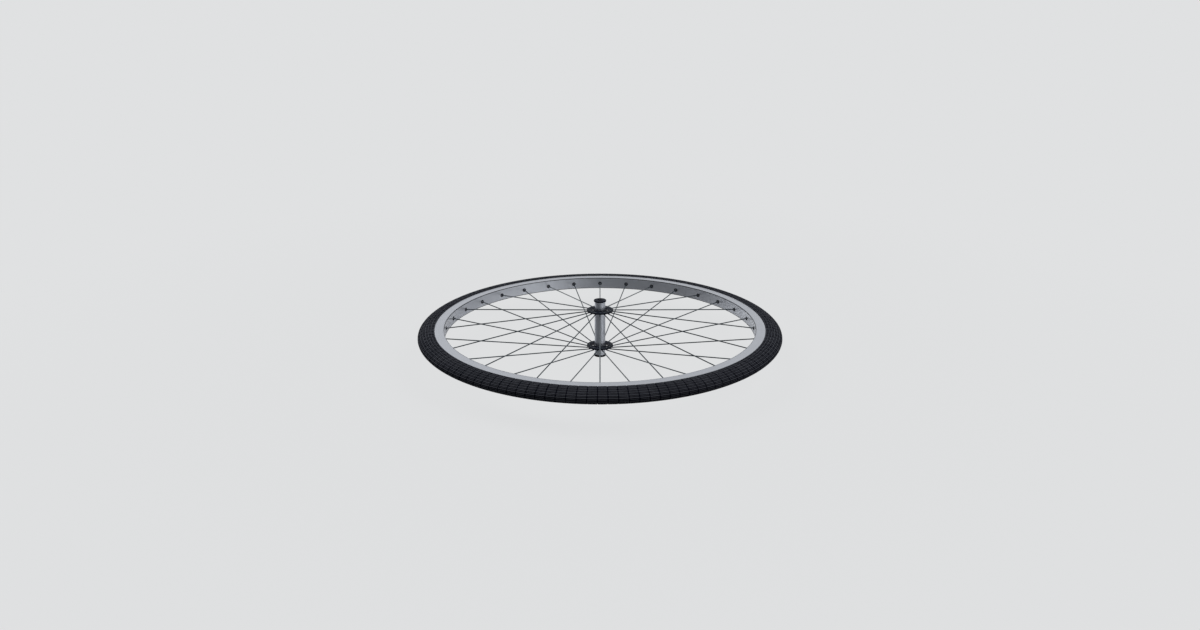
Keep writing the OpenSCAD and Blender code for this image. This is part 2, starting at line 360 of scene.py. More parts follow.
def spindle(points: Iterable[Point]) -> list[Vector]:
    """Place [distance along X, radius from X] corners, in millimetres."""
    return [Vector((x, 0.0, rho)) * MM for x, rho in points]


def mirrored(points: Sequence[Point]) -> list[Point]:
    """Follow the upper half of a [radius, height] outline by its mirror image below."""
    return list(points) + [(r, -z) for r, z in reversed(points)]


def rounded(corner: Point, before: Point, after: Point, radius: float, steps: int = 3) -> list[Point]:
    """Round one square corner of an outline.

    Args:
        corner: the corner.
        before: the direction of the side that comes into the corner.
        after: the direction of the side that leaves it.
        radius: the radius of the round.
        steps: the number of steps in the round.

    Returns:
        The round's corners, in order.
    """
    centre = (corner[0] + radius * (after[0] - before[0]), corner[1] + radius * (after[1] - before[1]))
    arc = []
    for i in range(steps + 1):
        turn = math.pi / 2 * i / steps
        arc.append((centre[0] - radius * (after[0] * math.cos(turn) - before[0] * math.sin(turn)),
                    centre[1] - radius * (after[1] * math.cos(turn) - before[1] * math.sin(turn))))
    return arc


# ---- materials

Value = Union[float, "Wire"]


class Wire:
    """A number in a shader, on which Python's operators work."""

    def __init__(self, recipe: Recipe, socket: Socket) -> None:
        """Keep the socket that the number comes from."""
        self.recipe = recipe
        self.socket = socket

    def __add__(self, other: Value) -> Wire:
        """Add."""
        return self.recipe.maths("ADD", self, other)

    def __sub__(self, other: Value) -> Wire:
        """Subtract."""
        return self.recipe.maths("SUBTRACT", self, other)

    def __rsub__(self, other: Value) -> Wire:
        """Subtract this from a number."""
        return self.recipe.maths("SUBTRACT", other, self)

    def __mul__(self, other: Value) -> Wire:
        """Multiply."""
        return self.recipe.maths("MULTIPLY", self, other)

    def __truediv__(self, other: Value) -> Wire:
        """Divide."""
        return self.recipe.maths("DIVIDE", self, other)

    def __pow__(self, other: Value) -> Wire:
        """Raise to a power."""
        return self.recipe.maths("POWER", self, other)

    __radd__ = __add__
    __rmul__ = __mul__


class Recipe:
    """The nodes of one material."""

    def __init__(self, name: str, tree: bpy.types.NodeTree | None = None) -> None:
        """Start an empty material, or empty a node tree that already exists.

        Args:
            name: the new material's name.
            tree: the node tree to empty instead.
        """
        self.material = None
        if tree is None:
            self.material = bpy.data.materials.new(name)
            self.material.use_nodes = True
            tree = self.material.node_tree
        self.tree = tree
        self.tree.nodes.clear()

    def node(self, kind: str, settings: dict[str, object] | None = None,
             inputs: dict[str | int, object] | None = None) -> bpy.types.Node:
        """Add a node, set it up and fill or link its sockets.

        Args:
            kind: the node's type.
            settings: its properties; "stops" gives a ramp's places and colours.
            inputs: a value or a link for each socket, by name or number.

        Returns:
            The new node.
        """
        made = self.tree.nodes.new(kind)
        for key, setting in (settings or {}).items():
            if key == "stops":
                stops = made.color_ramp.elements
                stops.remove(stops[-1])
                stops[0].position = setting[0][0]
                stops[0].color = (*setting[0][1], 1.0)
                for place, colour in setting[1:]:
                    stops.new(place).color = (*colour, 1.0)
            else:
                setattr(made, key, setting)
        for key, given in (inputs or {}).items():
            if isinstance(given, Wire):
                self.tree.links.new(given.socket, made.inputs[key])
            elif isinstance(given, Socket):
                self.tree.links.new(given, made.inputs[key])
            else:
                made.inputs[key].default_value = given
        return made

    def maths(self, operation: str, *values: Value) -> Wire:
        """Add a Math node."""
        made = self.node("ShaderNodeMath", {"operation": operation}, dict(enumerate(values)))
        return Wire(self, made.outputs[0])

    def clamp(self, value: Value) -> Wire:
        """Keep a number between 0 and 1."""
        made = self.node("ShaderNodeMath", {"operation": "ADD", "use_clamp": True}, {0: value, 1: 0.0})
        return Wire(self, made.outputs[0])

    def rays(self) -> tuple[Wire, Wire]:
        """Tell the rays apart.

        Returns:
            1 for a ray from the camera, and 1 for a ray off a mirror or through glass.
        """
        path = self.node("ShaderNodeLightPath").outputs
        eye, glossy, through = (
            Wire(self, path[f"Is {kind} Ray"]) for kind in ("Camera", "Glossy", "Transmission"))
        return eye, self.clamp(glossy + through)

    def place(self) -> tuple[Wire, Wire, Wire, Wire]:
        """Where a point of the piece is.

        Returns:
            Its x, y and z, and its distance from the axle, all in millimetres.
        """
        where = self.node("ShaderNodeTexCoord").outputs["Object"]
        split = self.node("ShaderNodeSeparateXYZ", inputs={0: where})
        x, y, z = (Wire(self, split.outputs[i]) * (1 / MM) for i in range(3))
        return x, y, z, (x * x + y * y) ** 0.5

    def spot(self, x: Value, y: Value, z: Value) -> Socket:
        """Join three numbers into a place to read a pattern at."""
        return self.node("ShaderNodeCombineXYZ", inputs={0: x, 1: y, 2: z}).outputs[0]

    def noise(self, spot: Socket, scale: float, detail: float = 3.0,
              rough: float = 0.55) -> Wire:
        """Cloudy variation between 0 and 1, with the scale in clouds for each millimetre."""
        inputs = {"Vector": spot, "Scale": scale, "Detail": detail, "Roughness": rough}
        return Wire(self, self.node("ShaderNodeTexNoise", inputs=inputs).outputs[0])

    def blend(self, share: Value, first: Triple | Socket, second: Triple) -> Socket:
        """Mix a plain or varying colour with a plain one, by a share that may vary."""
        colours = {6: first if isinstance(first, Socket) else (*first, 1), 7: (*second, 1)}
        return self.node("ShaderNodeMix", {"data_type": "RGBA"}, {0: share, **colours}).outputs[2]

    def bump(self, height: Value, depth_mm: float, strength: float = 1.0) -> Socket:
        """Turn a height between 0 and 1 into a bump of real depth."""
        made = self.node("ShaderNodeBump", inputs={
            "Strength": strength, "Distance": depth_mm * MM, "Height": height})
        return made.outputs[0]

    def surface(self, **inputs: object) -> bpy.types.Material:
        """Close the material with a principled surface.

        Args:
            inputs: socket values or links, with underscores for spaces in their names.

        Returns:
            The finished material.
        """
        named = {key.replace("_", " "): given for key, given in inputs.items()}
        shader = self.node("ShaderNodeBsdfPrincipled", inputs=named)
        self.node("ShaderNodeOutputMaterial", inputs={"Surface": shader.outputs[0]})
        return self.material


@dataclass(frozen=True)
class Metal:
    """A bare or coated metal with fine marks.

    The corner gets a painted shade, dark inside a radius and beyond a height, both in millimetres.
    """

    name: str
    colour: Triple
    roughness: float
    metallic: float = 1.0
    lay: Lay = Lay.ROUND
    marks_mm: float = 0.25
    mark_depth_mm: float = 0.004
    stain: float = 0.12
    specular: float = 0.5
    corner: Point | None = None
    corner_shade: float = 0.01
    corner_dull: float = 0.4

    def make(self) -> bpy.types.Material:
        """Mix the material.

        Returns:
            The finished material.
        """
        recipe = Recipe(self.name)
        x, y, z, r = recipe.place()
        fine = 1 / self.marks_mm
        if self.lay is Lay.ROUND:
            spot = recipe.spot(r * fine + x * 0.01, z * fine + y * 0.01, x * 0.012)
        elif self.lay is Lay.OUTWARD:
            spot = recipe.spot(x / r * MARKS_R * fine, y / r * MARKS_R * fine, z * fine * 0.3 + r * 0.05)
        else:
            spot = recipe.spot(x * fine, y * fine, z * fine)
        marks = recipe.noise(spot, 1.0, detail=4.0, rough=0.6)
        cloud = recipe.noise(recipe.spot(x, y, z), 0.045, detail=2.0)
        shade = recipe.clamp((marks - 0.5) * 0.5 + (cloud - 0.5) * 0.9 + 0.5)
        dark = tuple(c * (1 - self.stain) for c in self.colour)
        light = tuple(min(1.0, c * (1 + self.stain)) for c in self.colour)
        colour = recipe.blend(shade, dark, light)
        bare: Value = self.metallic
        dull: Value = self.roughness
        # Painted shade: the corner turns dark, duller and not metallic inside the radius and beyond the
        # height.
        if self.corner is not None:
            reach, height = self.corner
            painted_shade = recipe.maths("LESS_THAN", r, reach)
            painted_shade = painted_shade * recipe.maths("GREATER_THAN", recipe.maths("ABSOLUTE", z), height)
            colour = recipe.blend(painted_shade, colour, tuple(c * self.corner_shade for c in self.colour))
            bare = (1 - painted_shade) * self.metallic
            dull = painted_shade * self.corner_dull + self.roughness
        return recipe.surface(
            Base_Color=colour,
            Metallic=bare,
            Roughness=recipe.clamp((marks - 0.5) * 0.22 + (cloud - 0.5) * 0.12 + dull),
            Specular_IOR_Level=self.specular,
            Normal=recipe.bump(marks, self.mark_depth_mm),
        )


@dataclass(frozen=True)
class Rubber:
    """Moulded black rubber with a little bloom and a fine grain."""

    name: str
    colour: Triple
    bloom: Triple
    roughness: float = 0.62
    grain_mm: float = 0.5
    specular: float = 0.2

    def make(self) -> bpy.types.Material:
        """Mix the material.

        Returns:
            The finished material.
        """
        recipe = Recipe(self.name)
        x, y, z, _ = recipe.place()
        where = recipe.spot(x, y, z)
        grain = recipe.noise(where, 1 / self.grain_mm, detail=3.0, rough=0.65)
        cloud = recipe.noise(where, 0.03, detail=3.0)
        share = recipe.clamp((cloud - 0.42) * 1.6 + (grain - 0.5) * 0.5)
        return recipe.surface(
            Base_Color=recipe.blend(share, self.colour, self.bloom),
            Roughness=recipe.clamp((grain - 0.5) * 0.25 + (cloud - 0.5) * 0.2 + self.roughness),
            Specular_IOR_Level=self.specular,
            Normal=recipe.bump(grain, 0.03, 0.6),
        )


@dataclass(frozen=True)
class Plastic:
    """Moulded or woven plastic with a fine texture."""

    name: str
    colour: Triple
    roughness: float = 0.45
    weave_mm: float = 0.0

    def make(self) -> bpy.types.Material:
        """Mix the material.

        Returns:
            The finished material.
        """
        recipe = Recipe(self.name)
        x, y, z, _ = recipe.place()
        grain = recipe.noise(recipe.spot(x, y, z), 3.0)
        height: Value = grain
        if self.weave_mm:
            turn = FULL_TURN / self.weave_mm
            across = recipe.maths("SINE", z * turn)
            along = recipe.maths("SINE", recipe.maths("ARCTAN2", y, x) * MARKS_R * turn)
            height = recipe.clamp(across * along * 0.4 + grain * 0.2 + 0.4)
        dark = tuple(c * 0.82 for c in self.colour)
        return recipe.surface(
            Base_Color=recipe.blend(height, dark, self.colour),
            Roughness=recipe.clamp((grain - 0.5) * 0.2 + self.roughness),
            Normal=recipe.bump(height, 0.05, 0.5),
        )


Finish = Union[Metal, Rubber, Plastic]

TYRE_RUBBER = Rubber("tyre_rubber", (0.055, 0.058, 0.071), (0.098, 0.102, 0.118), specular=0.02)
# Painted shade: the grooves get the tread's rubber made far darker and without sheen.
GROOVE_PAINTED_SHADE = Rubber("groove_painted_shade", (0.0035, 0.0045, 0.010), (0.006, 0.007, 0.014), specular=0.0)
TUBE_RUBBER = Rubber("tube_rubber", (0.022, 0.022, 0.022), (0.06, 0.06, 0.055), 0.5, 1.5)
SEAL_RUBBER = Rubber("seal_rubber", (0.015, 0.015, 0.018), (0.03, 0.03, 0.032), 0.4, 0.3)
# The rim's corner setting paints shade: a dark band round the top edges of the inner wall, by each side
# face.
RIM_METAL = Metal("rim_aluminium", (0.555, 0.577, 0.628), 0.36, metallic=0.85, stain=0.03,
                  corner=(299.6, 10.8))
BARREL_METAL = Metal("barrel_aluminium", (0.45, 0.468, 0.512), 0.32, metallic=0.9, marks_mm=0.18, stain=0.05)
AXLE_METAL = Metal("axle_aluminium", (0.42, 0.42, 0.44), 0.38, marks_mm=0.3)
SPOKE_STEEL = Metal("spoke_steel", (0.019, 0.036, 0.050), 0.34, metallic=0.3, lay=Lay.OUTWARD, marks_mm=0.3,
                    stain=0.1, specular=0.75)
NIPPLE_METAL = Metal("nipple_aluminium", (0.3, 0.31, 0.34), 0.35, metallic=0.9, lay=Lay.EVEN, marks_mm=0.4)
HUB_BLACK = Metal("hub_black", (0.012, 0.014, 0.023), 0.5, metallic=0.0, marks_mm=0.2, stain=0.25,
                  specular=0.06)
EYELET_BLACK = Metal("eyelet_black", (0.010, 0.012, 0.020), 0.5, metallic=0.0, lay=Lay.EVEN, stain=0.25,
                     specular=0.06)
BEARING_STEEL = Metal("bearing_steel", (0.6, 0.6, 0.62), 0.18, marks_mm=0.15, stain=0.05)
CAGE_BRASS = Metal("cage_brass", (0.62, 0.46, 0.2), 0.3, lay=Lay.EVEN)
VALVE_BRASS = Metal("valve_brass", (0.66, 0.56, 0.33), 0.3, lay=Lay.EVEN, marks_mm=0.3)
RING_METAL = Metal("lock_ring_nickel", (0.6, 0.6, 0.6), 0.3, lay=Lay.EVEN, marks_mm=0.3)
TAPE_CLOTH = Plastic("tape_cloth", (0.72, 0.66, 0.48), 0.7, weave_mm=0.8)
CAP_PLASTIC = Plastic("cap_plastic", (0.02, 0.02, 0.022), 0.4)


@cache
def material(finish: Finish) -> bpy.types.Material:
    """Make a finish's material once."""
    return finish.make()


def dress(piece: Piece, *finishes: Finish) -> None:
    """Give a piece its finishes; the first one covers it until faces are given another.

    Args:
        piece: the piece.
        finishes: its finishes.
    """
    piece.data.materials.clear()
    for finish in finishes:
        piece.data.materials.append(material(finish))


def fit(piece: Piece, node: str, finish: Finish | None = None, body: str = "wheel") -> None:
    """Dress a finished piece, let it ride on its body and stand for its node.

    Args:
        piece: the finished piece.
        node: the plain node it replaces.
        finish: its finish, or None if it is dressed already.
        body: the moving body it belongs to.
    """
    if finish is not None:
        dress(piece, finish)
    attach(piece, body)
    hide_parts(node)
    LOG.info("%s: %d faces", piece.name, len(piece.data.polygons))


# ---- tyre


@dataclass
class Tyre:
    """The tyre: a casing with small raised blocks from lip to lip."""

    crown_r: float
    rim_r: float
    rim_half_w: float
    half_w: float = 13.6
    wide_in: float = 22.0
    foot_over: float = 0.2
    wall: float = 2.0
    tread: float = 4.0
    bead_t: float = 2.7
    lip_h: float = 6.0
    lip_t: float = 1.7
    block_h: float = 0.8
    ribs: int = 28
    pitches: int = 128
    groove_ws: tuple[float, float] = (0.7, 1.6)
    cross_extra_deg: float = 0.05
    phase_deg: float = -0.69
    crown_power: float = 1.2
    near: float = 0.35
    fine_steps: int = 400
    hollow_steps: int = 12

    def crown(self, half_w: float, top_r: float, steps: int) -> list[Point]:
        """Outline of the crown from one widest point over to the other.

        Args:
            half_w: half the width at the widest.
            top_r: the radius at the top.
            steps: the number of steps.

        Returns:
            [radius, height] corners.
        """
        wide_r = self.crown_r - self.wide_in
        turns = [math.pi * i / steps for i in range(steps + 1)]
        return [(wide_r + (top_r - wide_r) * max(0.0, math.sin(t)) ** (2 / self.crown_power),
                 half_w * math.cos(t)) for t in turns]

    def rib_edges(self) -> list[Point]:
        """Edges of the ribs, evenly spaced over the base that the blocks stand on.

        Returns:
            One more [radius, height] corner than there are ribs.
        """
        foot = (self.rim_r, self.rim_half_w + self.foot_over)
        base = self.crown(self.half_w - self.block_h, self.crown_r - self.block_h, self.fine_steps)
        path = [foot, *base, (foot[0], -foot[1])]
        lengths = [math.dist(a, b) for a, b in zip(path, path[1:])]
        step = sum(lengths) / self.ribs
        edges = [path[0]]
        walked = 0.0
        for a, b, length in zip(path, path[1:], lengths):
            while len(edges) < self.ribs and walked + length >= step * len(edges):
                share = (step * len(edges) - walked) / length
                edges.append((a[0] + (b[0] - a[0]) * share, a[1] + (b[1] - a[1]) * share))
            walked += length
        return [*edges, path[-1]]

    def inside(self) -> list[Point]:
        """Outline of the foot, the bead and the hollow, from the lower lip to the upper one.

        Returns:
            [radius, height] corners.
        """
        channel = self.rim_half_w - self.lip_t
        bead_r = self.rim_r - self.lip_h
        lower = [(self.rim_r, -channel + HOOK_IN), (self.rim_r - HOOK_TOP, -channel + HOOK_IN),
                 (self.rim_r - HOOK_FOOT, -channel), (bead_r, -channel),
                 (bead_r, -channel + self.bead_t), (self.rim_r, -channel + self.bead_t)]
        hollow = self.crown(self.half_w - self.wall, self.crown_r - self.tread, self.hollow_steps)
        return [*lower, *[(r, -z) for r, z in hollow], *[(r, -z) for r, z in reversed(lower)]]

    def raise_blocks(self, tile: Piece, mids: Sequence[Point], first: float, last: float) -> None:
        """Inset and raise every second rib, then the others, and give their tops the tread's rubber, lighter
        than the painted shade left in the grooves.

        Args:
            tile: one pitch of the tread, open for editing.
            mids: the middle of each rib.
            first: the angle at which the blocks begin.
            last: the angle at which they end.
        """
        for odd in (0, 1):
            wanted = mids[odd::2]

            def on_rib(centre: Vector, _: Vector) -> bool:
                """Whether a face lies on one of this pass's ribs."""
                angle = math.atan2(centre.y, centre.x)
                place = (math.hypot(centre.x, centre.y) / MM, centre.z / MM)
                return first < angle < last and any(math.dist(place, mid) < self.near for mid in wanted)

            choose(tile, on_rib)
            bpy.ops.mesh.inset(thickness=self.groove_ws[odd] / 2 * MM, use_boundary=True)
            bpy.ops.mesh.extrude_region_shrink_fatten(
                TRANSFORM_OT_shrink_fatten={"value": self.block_h * MM})
            tile.active_material_index = 1
            bpy.ops.object.material_slot_assign()

    def build(self) -> None:
        """Model one pitch of the tyre, copy it round and dress it."""
        edges = self.rib_edges()
        mids = [((a[0] + b[0]) / 2, (a[1] + b[1]) / 2) for a, b in zip(edges, edges[1:])]
        start = math.radians(self.phase_deg)
        pitch = FULL_TURN / self.pitches
        extra = math.radians(self.cross_extra_deg)
        tile = draw("tyre_tread", lathe([*edges, *self.inside()], start), closed=True)
        spin(extra, 1)
        spin(pitch - 2 * extra, 2)
        spin(extra, 1)
        face_outward()
        # The tile starts in the grooves' painted shade; the block tops are given the plain tread rubber.
        dress(tile, GROOVE_PAINTED_SHADE, TYRE_RUBBER)
        self.raise_blocks(tile, mids, start + extra, start + pitch - extra)
        ring_round(tile, self.pitches)
        face_outward()
        polish(tile, 30.0, weighted=False)
        fit(tile, "tyre")


# ---- rim


@dataclass
class Rim:
    """The double-wall rim, with its spoke holes and eyelets, sized round the nipples."""

    outer_r: float
    half_w: float
    spokes: int = 32
    depth: float = 18.0
    lip_h: float = 6.0
    side_wall: float = 1.7
    spoke_bed: float = 1.8
    tyre_bed: float = 1.4
    well: float = 3.2
    well_half_w: float = 5.4
    edge_round: float = 0.45
    line_w: float = 0.8
    line_in: float = 0.7
    line_depth: float = 0.3
    line_slope: float = 0.06
    drill_z: float = -1.0
    hole_d: float = 6.7
    access_d: float = 8.5
    eyelet_d: float = 8.0
    eyelet_h: float = 0.6
    sleeve_t: float = 0.7
    nipple_d: float = 4.0
    nipple_play: float = 0.3

    @property
    def inner_r(self) -> float:
        """Radius of the wall that the spokes come through."""
        return self.outer_r - self.depth

    def skin(self) -> list[Point]:
        """Upper half of the outline of everything that can be touched.

        Returns:
            [radius, height] corners from the inner wall round to the tyre's well.
        """
        low, high, top = self.inner_r, self.outer_r, self.half_w
        line, line_z = low + self.line_in, top - self.line_depth
        channel = top - self.side_wall
        bead = high - self.lip_h
        return [
            (low, 1.5), (low, 5.0), (low, top - 1.2),
            *rounded((low, top), (0, 1), (1, 0), self.edge_round),
            (line, top), (line + self.line_slope, line_z), (line + self.line_w - self.line_slope, line_z),
            (line + self.line_w, top), (line + 1.2, top), (low + 9, top), (high - 1.2, top),
            *rounded((high, top), (1, 0), (0, -1), self.edge_round),
            (high, channel - HOOK_IN), (high - HOOK_TOP, channel - HOOK_IN), (high - HOOK_FOOT, channel),
            (bead, channel), (bead, self.well_half_w + 1.5), (bead - self.well, self.well_half_w),
        ]

    def hollow(self) -> list[Point]:
        """Upper half of the outline of the space between the two walls.

        Returns:
            [radius, height] corners.
        """
        side = self.half_w - self.side_wall
        under = self.outer_r - self.lip_h - self.tyre_bed
        return [
            (self.inner_r + self.spoke_bed, side), (under, side),
            (under, self.well_half_w + 1.9), (under - self.well, self.well_half_w - 0.3),
        ]

    def drill(self) -> Piece:
        """A tool that cuts every spoke hole and the wider hole outside it.

        Returns:
            The closed shapes to cut out of the rim.
        """
        well_mid = self.outer_r - self.lip_h - self.well - self.tyre_bed / 2
        drills = []
        put_down()
        for name, radius, place in (
                ("rim_drill", self.hole_d / 2, Vector((self.inner_r + 1, 0, self.drill_z))),
                ("access_drill", self.access_d / 2, Vector((well_mid, 0, 0)))):
            bpy.ops.mesh.primitive_cylinder_add(
                vertices=32, radius=radius * MM, depth=4 * MM, rotation=(0, math.pi / 2, 0),
                location=place * MM)
            drills.append(name_new(name))
        tool = join(drills[0], drills[1:])
        ring_round(tool, self.spokes)
        return tool

    def build(self) -> None:
        """Model the rim as one sector's outline spun round, then drill and dress it."""
        steps = self.spokes * 16
        rim = turned("rim_extrusion", lathe(mirrored(self.skin())), steps)
        hollow = turned("rim_hollow", lathe(mirrored(self.hollow())), steps // 2)
        bpy.ops.mesh.flip_normals()
        join(rim, [hollow])
        cut(rim, self.drill())
        polish(rim, 32.0)
        fit(rim, "rim", RIM_METAL)
        self.build_eyelets()

    def build_eyelets(self) -> None:
        """Turn one eyelet with a rolled lip and copy it to every spoke."""
        seat = self.inner_r - 0.05
        lip_r, bore_r = self.eyelet_d / 2, self.nipple_d / 2 + self.nipple_play
        sleeve_r = bore_r + self.sleeve_t
        outline = [
            (seat, lip_r), *rounded((seat - self.eyelet_h, lip_r), (-1, 0), (0, -1), 0.3),
            *rounded((seat - self.eyelet_h, bore_r), (0, -1), (1, 0), 0.4),
            (seat + 2.2, bore_r), (seat + 2.5, bore_r + 0.2), (seat + 2.5, sleeve_r + 0.6),
            (seat + 1.95, sleeve_r + 0.6), (seat + 1.95, sleeve_r), (seat, sleeve_r),
        ]
        up = Vector((0, 0, self.drill_z * MM))
        eyelets = turned("eyelet_rings", [corner + up for corner in spindle(outline)], 32, Axis.X, up)
        ring_round(eyelets, self.spokes)
        polish(eyelets)
        fit(eyelets, "rim_eyelets", EYELET_BLACK)


# ---- spokes


@dataclass
class Spokes:
    """Straight spokes: a head and elbow at the flange, a nipple at the rim."""

    inner_r: float
    drill_z: float
    flange_z: float
    flange_t: float
    count: int = 32
    wire_d: float = 2.0
    elbow_d: float = 2.2
    hole_r: float = 21.5
    head_d: float = 3.6
    head_h: float = 1.0
    bend_r: float = 1.6
    elbow_inset: float = 0.2
    thread_len: float = 9.0
    thread_pitch: float = 0.45
    tip_past: float = 4.4
    sides: int = 14

    @property
    def pivot(self) -> Vector:
        """The middle of the spoke hole, in millimetres, that a spoke along +X is aimed at."""
        return Vector((self.inner_r + 1, 0, self.drill_z))

    def bend_centre(self, side: Side) -> Vector:
        """Centre of the elbow, in millimetres, for a spoke along +X."""
        return Vector((self.hole_r + self.bend_r, 0,
                       side.value * self.flange_z - self.flange_t / 2 + self.elbow_inset))

    def slope(self, side: Side) -> float:
        """Angle of the straight part below the horizontal, in radians."""
        run = self.pivot - self.bend_centre(side)
        return math.atan2(-run.z, run.x) - math.asin(self.bend_r / run.length)

    def model(self, side: Side) -> Piece:
        """Model a spoke along +X from its head to its thread.

        Args:
            side: the flange it hangs on.

        Returns:
            The spoke's object.
        """
        top = side.value * self.flange_z + self.flange_t / 2
        centre = self.bend_centre(side)
        head = Vector((self.hole_r, 0, top + self.head_h)) * MM
        put_down()
        bpy.ops.mesh.primitive_circle_add(
            vertices=self.sides, radius=0.45 * self.head_d / 2 * MM, fill_type="NGON", location=head)
        spoke = name_new("spoke_model")
        bpy.ops.object.mode_set(mode="EDIT")
        bpy.ops.mesh.select_all(action="SELECT")
        at = head.copy()
        for fall, scale in ((0.15, 1.6), (0.3, 1.25), (0.45, 1.112), (0.1, 1.0)):
            at += Vector((0, 0, -fall * MM))
            grow(Vector((0, 0, -fall * MM)), scale, at)
        grow(Vector((0, 0, 0)), self.elbow_d / self.head_d, at)
        grow(Vector((0, 0, centre.z * MM - at.z)))
        slope = self.slope(side)
        spin(slope - math.pi / 2, 8, axis=Axis.Y, centre=centre * MM)
        self.draw_straight(side)
        face_outward()
        polish(spoke, 40.0)
        return spoke

    def draw_straight(self, side: Side) -> None:
        """Extrude the open end along the spoke: butt, plain wire and thread.

        Args:
            side: the flange the spoke hangs on.
        """
        slope = self.slope(side)
        along = Vector((math.cos(slope), 0, -math.sin(slope)))
        begin = self.bend_centre(side) - Vector((math.sin(slope), 0, math.cos(slope))) * self.bend_r
        run = (self.pivot - begin).length + self.tip_past
        at = begin.copy()
        walked = 0.0
        thin = self.wire_d / self.elbow_d
        stations = [(2.0, 1.0), (5.0, thin), (run - self.thread_len, 1.0)]
        ridge = 1.08
        place = run - self.thread_len
        while place + self.thread_pitch < run - 0.4:
            stations += [(place + self.thread_pitch * 0.5, ridge), (place + self.thread_pitch, 1 / ridge)]
            place += self.thread_pitch
        stations += [(run - 0.3, 1.0), (run, 0.7)]
        for station, scale in stations:
            step = along * (station - walked)
            at += step
            walked = station
            grow(step * MM, scale, at * MM)

    def model_nipple(self, side: Side) -> Piece:
        """Turn a nipple whose head is inside the rim, tilted along its spoke.

        Args:
            side: the flange its spoke hangs on.

        Returns:
            The nipple's object, at the spoke along +X.
        """
        bore = self.wire_d / 2 + 0.12
        outline = [
            (-1.5, bore), (-1.5, 1.75), (-1.25, 2.0), (1.8, 2.0), (1.8, 2.8), (2.0, 3.0), (2.4, 3.0),
            (2.6, 2.8), (2.6, 2.55), (5.5, 2.55), (5.8, 2.3), (5.8, bore),
        ]
        nipple = turned("nipple_model", spindle(outline), 24, Axis.X)
        settle(nipple, (0.0, self.slope(side), 0.0), self.pivot * MM)
        return nipple

    def build(self) -> None:
        """Model one spoke and nipple for each flange and copy them round."""
        step = FULL_TURN / self.count
        models = {side: self.model(side) for side in Side}
        for number in range(self.count):
            side = Side.TOP if number % 2 == 0 else Side.BOTTOM
            name = f"spoke_{number + 1:02d}"
            wire = copy_turned(models[side], f"{name}_wire", FULL_TURN / 4 + number * step)
            fit(wire, name, SPOKE_STEEL)
        for model in models.values():
            bpy.data.objects.remove(model)
        halves = []
        for first, side in enumerate(Side):
            nipple = self.model_nipple(side)
            half = copy_turned(nipple, f"nipples_{side.name.lower()}", first * step)
            bpy.data.objects.remove(nipple)
            ring_round(half, self.count // 2)
            halves.append(half)
        nipples = join(halves[0], halves[1:])
        nipples.name = "nipple_set"
        polish(nipples)
        fit(nipples, "spoke_nipples", NIPPLE_METAL)


# ---- hub


